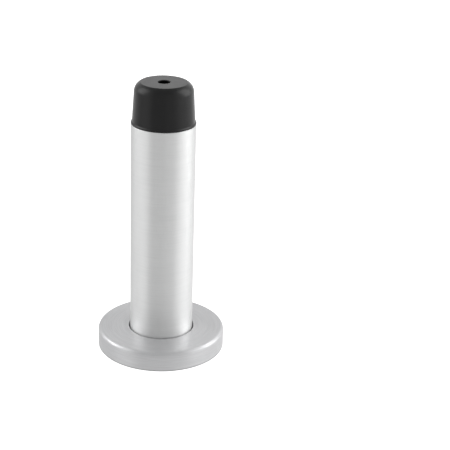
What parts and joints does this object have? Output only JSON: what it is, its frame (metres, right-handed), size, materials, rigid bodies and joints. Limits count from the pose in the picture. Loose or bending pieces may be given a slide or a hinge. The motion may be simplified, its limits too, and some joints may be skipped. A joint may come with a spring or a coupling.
{
  "type": "wall mounted door stop",
  "caption": "Sprung wall door stop: satin metal tube with a black rubber cap, standing in a flat round rose and held by a coil spring that lets it lean any way.",
  "frame": {"origin": "middle of the rose's underside, in the plane of the wall", "axes": "+Z out of the wall along the tube; the picture looks along +Y from a little above, with +X to the right, and the drawn lean is towards +X"},
  "size_m": [0.0446, 0.0446, 0.0965],
  "materials": {
    "satin_steel": "satin, finely turned round the axis",
    "nickel_plate": "semi-bright warm nickel plate",
    "spring_wire": "drawn and plated wire",
    "core_metal": "turned, hidden in the tube",
    "black_rubber": "matt moulded rubber with a soft sheen",
    "screw_steel": "dark steel, deep in the cap"
  },
  "bodies": {
    "foot": {"rose": "satin_steel", "spring_seat": "nickel_plate"},
    "neck": {"spring": "spring_wire"},
    "buffer": {"tube": "satin_steel", "tube_core": "core_metal", "rubber_cap": "black_rubber", "cap_screw": "screw_steel"}
  },
  "joints": [
    {"name": "swivel", "type": "hinge", "parent": "foot", "child": "neck", "pos_m": [0, 0, 0.009], "axis": [0, 0, 1], "continuous": true},
    {"name": "lean", "type": "hinge", "parent": "neck", "child": "buffer", "pos_m": [0.0199, 0, 0.0059], "axis": [0, 1, 0], "range_deg": [0, 48], "stiffness_Nm_per_rad": 0.4, "springref_deg": -28.65, "deforming": ["spring"]}
  ]
}
